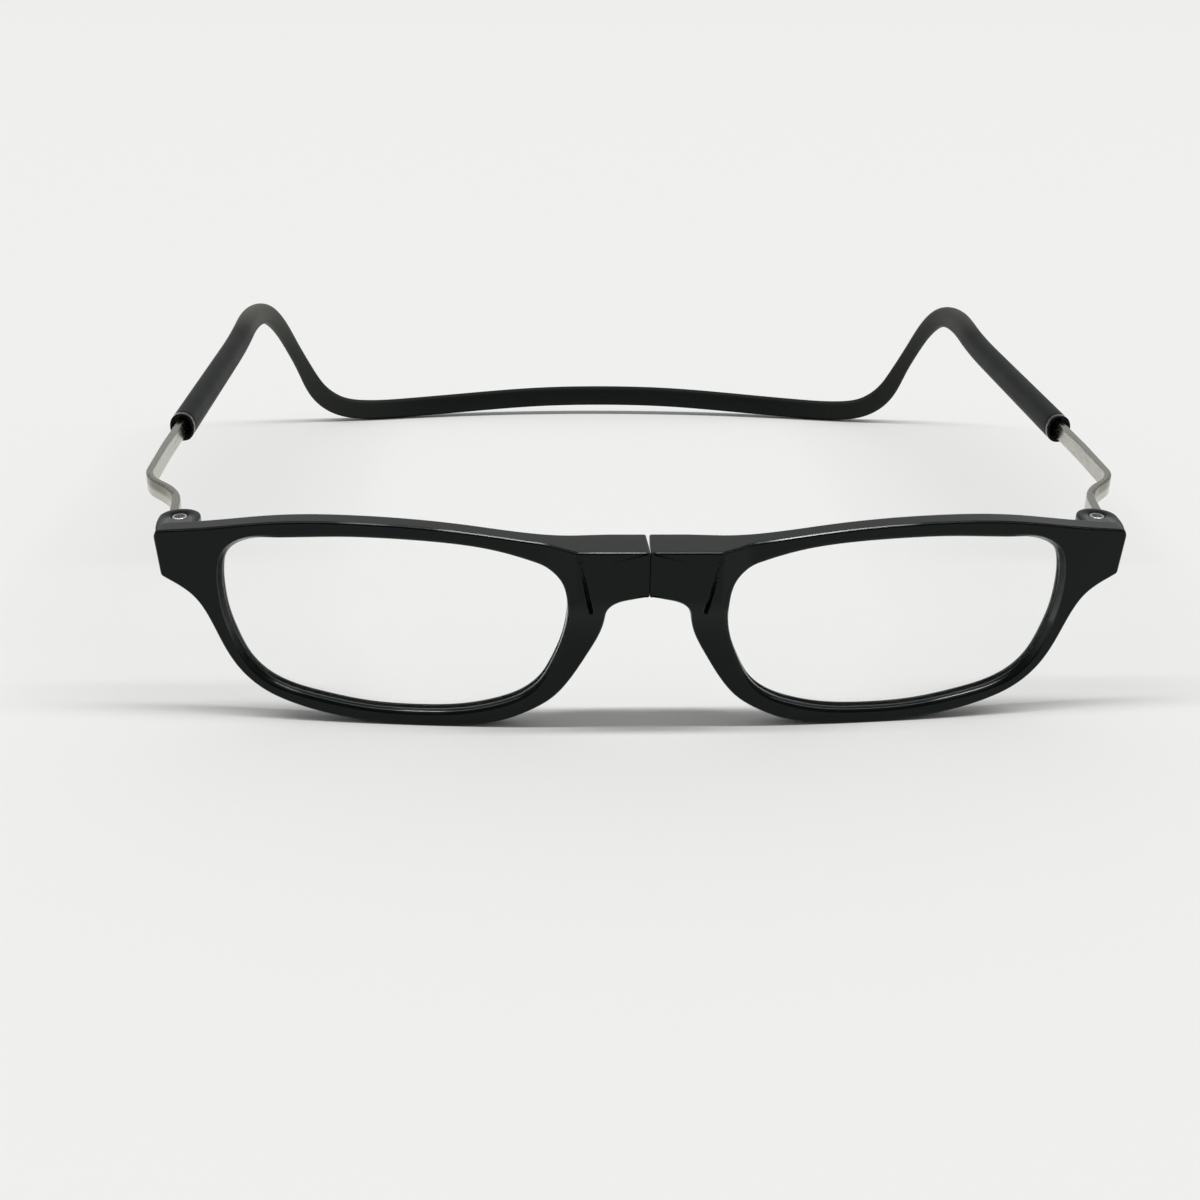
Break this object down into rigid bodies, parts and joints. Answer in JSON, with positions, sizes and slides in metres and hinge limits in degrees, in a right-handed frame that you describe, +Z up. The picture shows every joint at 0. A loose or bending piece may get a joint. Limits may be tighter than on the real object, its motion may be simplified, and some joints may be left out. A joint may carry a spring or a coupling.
{
  "type": "reading glasses with magnetic bridge",
  "caption": "Full-rim reading glasses whose front parts at a magnetic bridge, with temple bars sliding into a one-piece headband.",
  "frame": {"origin": "centre of the footprint, at table level", "axes": "+Z up, the wearer looks along -Y, +X is the wearer's left"},
  "size_m": [0.1656, 0.161, 0.0333],
  "materials": {
    "frame_black": "smooth black, faint sheen",
    "band_black": "satin black",
    "bush_black": "glossy black",
    "lens_clear": "clear, polished",
    "magnet_plate": "bright plating",
    "bar_steel": "brushed along its length",
    "screw_steel": "polished",
    "insert_brass": "turned",
    "stop_black": "as moulded"
  },
  "bodies": {
    "headband": {"headband": "band_black", "left_sleeve_bush": "bush_black", "right_sleeve_bush": "bush_black"},
    "left_temple": {"left_temple_bar": "bar_steel", "left_slide_stop": "stop_black"},
    "left_front": {"left_frame": "frame_black", "left_lens": "lens_clear", "left_bridge_magnet": "magnet_plate", "left_hinge_screw": "screw_steel", "left_hinge_insert": "insert_brass"},
    "right_temple": {"right_temple_bar": "bar_steel", "right_slide_stop": "stop_black"},
    "right_front": {"right_frame": "frame_black", "right_lens": "lens_clear", "right_bridge_magnet": "magnet_plate", "right_hinge_screw": "screw_steel", "right_hinge_insert": "insert_brass"}
  },
  "joints": [
    {"name": "left_temple_slide", "type": "slide", "parent": "headband", "child": "left_temple", "axis": [0, -1, 0], "range_m": [-0.0135, 0.0172]},
    {"name": "right_temple_slide", "type": "slide", "parent": "headband", "child": "right_temple", "axis": [0, -1, 0], "range_m": [-0.0135, 0.0172]},
    {"name": "left_front_hinge", "type": "hinge", "parent": "left_temple", "child": "left_front", "pos_m": [0.0703, -0.06595, 0.0273], "axis": [0, 0, 1], "range_deg": [0, 90]},
    {"name": "right_front_hinge", "type": "hinge", "parent": "right_temple", "child": "right_front", "pos_m": [-0.0703, -0.06595, 0.0273], "axis": [0, 0, -1], "range_deg": [0, 90]}
  ]
}
